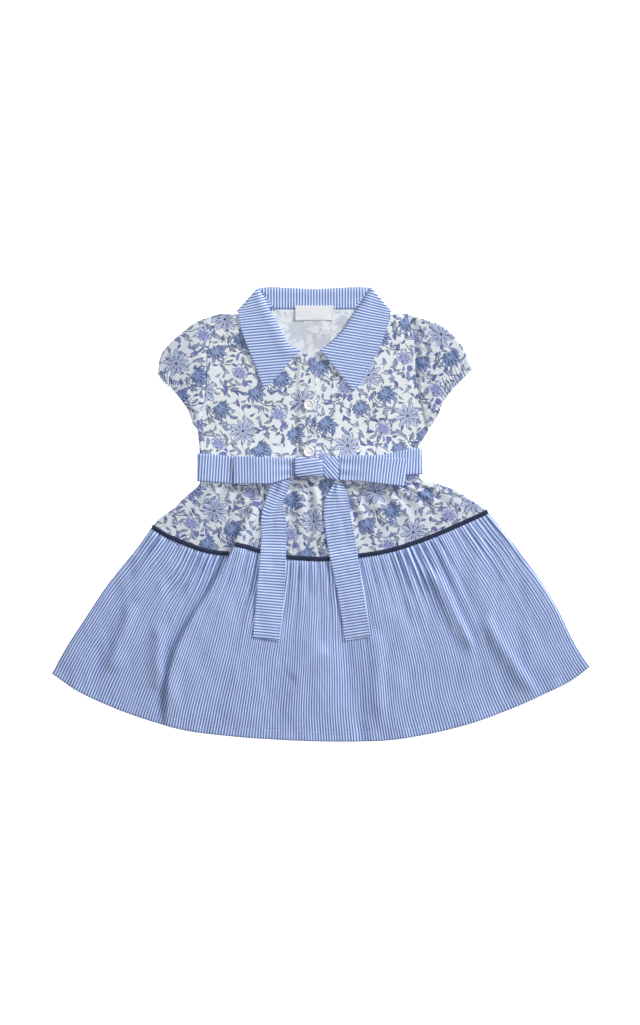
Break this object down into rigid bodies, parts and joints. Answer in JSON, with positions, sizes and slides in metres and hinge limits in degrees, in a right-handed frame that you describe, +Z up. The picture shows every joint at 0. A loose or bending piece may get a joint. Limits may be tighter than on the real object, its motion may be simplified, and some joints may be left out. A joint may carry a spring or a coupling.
{
  "type": "toddler muslin dress laid flat",
  "caption": "Small short-sleeved dress lying flat: striped collar and gathered skirt, flowered bodice and hip band, tied striped sash and blank neck label.",
  "frame": {"origin": "middle of the laid garment's footprint, on the surface it lies on", "axes": "+X to the right of the picture (the wearer's left), +Y towards the collar, +Z up from the surface"},
  "size_m": [0.5654, 0.4776, 0.0127],
  "materials": {
    "flowered_muslin": "plain weave, matte, printed with blue flowers on near-white",
    "striped_muslin": "plain weave, matte, narrow blue and white stripes",
    "navy_twill": "matte bias binding",
    "label_tape": "blank woven satin tape",
    "pearl_button": "pearly polyester, polished"
  },
  "bodies": {
    "root": {"bodice_back": "flowered_muslin", "bodice_front_left": "flowered_muslin", "bodice_front_right": "flowered_muslin", "sleeve_left": "flowered_muslin", "sleeve_right": "flowered_muslin", "hip_back": "flowered_muslin", "hip_front": "flowered_muslin", "collar": "striped_muslin", "skirt_back": "striped_muslin", "skirt_front": "striped_muslin", "sash_band": "striped_muslin", "bow_loop_left": "striped_muslin", "bow_loop_right": "striped_muslin", "bow_knot": "striped_muslin", "bow_knot_twist": "striped_muslin", "bow_tail_left": "striped_muslin", "bow_tail_right": "striped_muslin", "piping_front": "navy_twill", "piping_front_side": "navy_twill", "piping_back": "navy_twill", "label_neck": "label_tape", "button_upper": "pearl_button", "button_lower": "pearl_button"}
  },
  "joints": []
}
